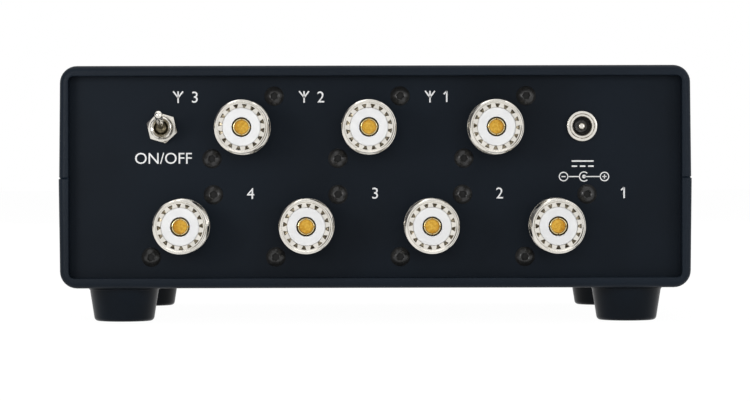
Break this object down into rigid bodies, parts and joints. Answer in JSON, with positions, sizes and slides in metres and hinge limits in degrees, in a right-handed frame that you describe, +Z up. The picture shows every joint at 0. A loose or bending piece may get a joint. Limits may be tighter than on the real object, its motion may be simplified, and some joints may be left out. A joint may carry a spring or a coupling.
{
  "type": "coaxial antenna switch",
  "caption": "Low black two-shell instrument case with coaxial sockets, a power toggle and a power jack on its recessed rear panel, and rotary selector knobs in front.",
  "frame": {"origin": "centre of the whole object's box at the surface its feet stand on", "axes": "+X to the right when the connector panel is seen, +Y from the connector panel to the control panel, +Z up"},
  "size_m": [0.185, 0.1678, 0.075],
  "materials": {
    "case_plastic": "fine moulded texture",
    "panel_paint": "fine satin texture",
    "dark_steel": "black oxide",
    "foot_rubber": "smooth moulded",
    "nickel": "bright nickel plate",
    "white_insulator": "waxy white",
    "gilt": "gilt",
    "brass": "turned",
    "steel": "zinc plate",
    "circuit_board": "solder mask",
    "relay_plastic": "moulded",
    "cable_grey": "ribbed ribbon",
    "lead_insulation": "smooth",
    "switch_plastic": "moulded",
    "knob_plastic": "satin moulded",
    "lamp_lens": "diffused"
  },
  "bodies": {
    "case": {"top_shell": "case_plastic", "bottom_shell": "case_plastic", "rear_panel": "panel_paint", "front_panel": "panel_paint", "case_screws": "dark_steel", "foot_screws": "dark_steel", "foot_rear_left": "foot_rubber", "foot_rear_right": "foot_rubber", "foot_front_left": "foot_rubber", "foot_front_right": "foot_rubber", "radio_4_shell": "nickel", "radio_4_insulator": "white_insulator", "radio_4_contact": "gilt", "radio_3_shell": "nickel", "radio_3_insulator": "white_insulator", "radio_3_contact": "gilt", "radio_2_shell": "nickel", "radio_2_insulator": "white_insulator", "radio_2_contact": "gilt", "radio_1_shell": "nickel", "radio_1_insulator": "white_insulator", "radio_1_contact": "gilt", "antenna_3_shell": "nickel", "antenna_3_insulator": "white_insulator", "antenna_3_contact": "gilt", "antenna_2_shell": "nickel", "antenna_2_insulator": "white_insulator", "antenna_2_contact": "gilt", "antenna_1_shell": "nickel", "antenna_1_insulator": "white_insulator", "antenna_1_contact": "gilt", "socket_screws": "dark_steel", "board_spacers": "brass", "board_screws": "steel", "relay_board": "circuit_board", "relays": "relay_plastic", "control_cable": "cable_grey", "power_leads": "lead_insulation", "toggle_bushing": "nickel", "toggle_housing": "switch_plastic", "toggle_nut": "nickel", "toggle_lugs": "nickel", "jack_barrel": "nickel", "jack_insulator": "switch_plastic", "jack_pin": "nickel", "jack_nut": "nickel", "jack_tabs": "nickel", "radio_selector_bushing": "steel", "radio_selector_housing": "switch_plastic", "radio_selector_nut": "steel", "antenna_selector_bushing": "steel", "antenna_selector_housing": "switch_plastic", "antenna_selector_nut": "steel", "selector_board": "circuit_board", "power_lamp": "lamp_lens"},
    "toggle": {"toggle_lever": "nickel"},
    "radio_selector": {"radio_selector_shaft": "steel", "radio_selector_knob": "knob_plastic"},
    "antenna_selector": {"antenna_selector_shaft": "steel", "antenna_selector_knob": "knob_plastic"}
  },
  "joints": [
    {"name": "toggle_throw", "type": "hinge", "parent": "case", "child": "toggle", "pos_m": [-0.0624, -0.06837, 0.0569], "axis": [1, 0, 0], "range_deg": [0, 28]},
    {"name": "radio_selector_turn", "type": "hinge", "parent": "case", "child": "radio_selector", "pos_m": [0.045, 0.06593, 0.0425], "axis": [0, -1, 0], "range_deg": [0, 90]},
    {"name": "antenna_selector_turn", "type": "hinge", "parent": "case", "child": "antenna_selector", "pos_m": [-0.045, 0.06593, 0.0425], "axis": [0, -1, 0], "range_deg": [0, 60]}
  ]
}
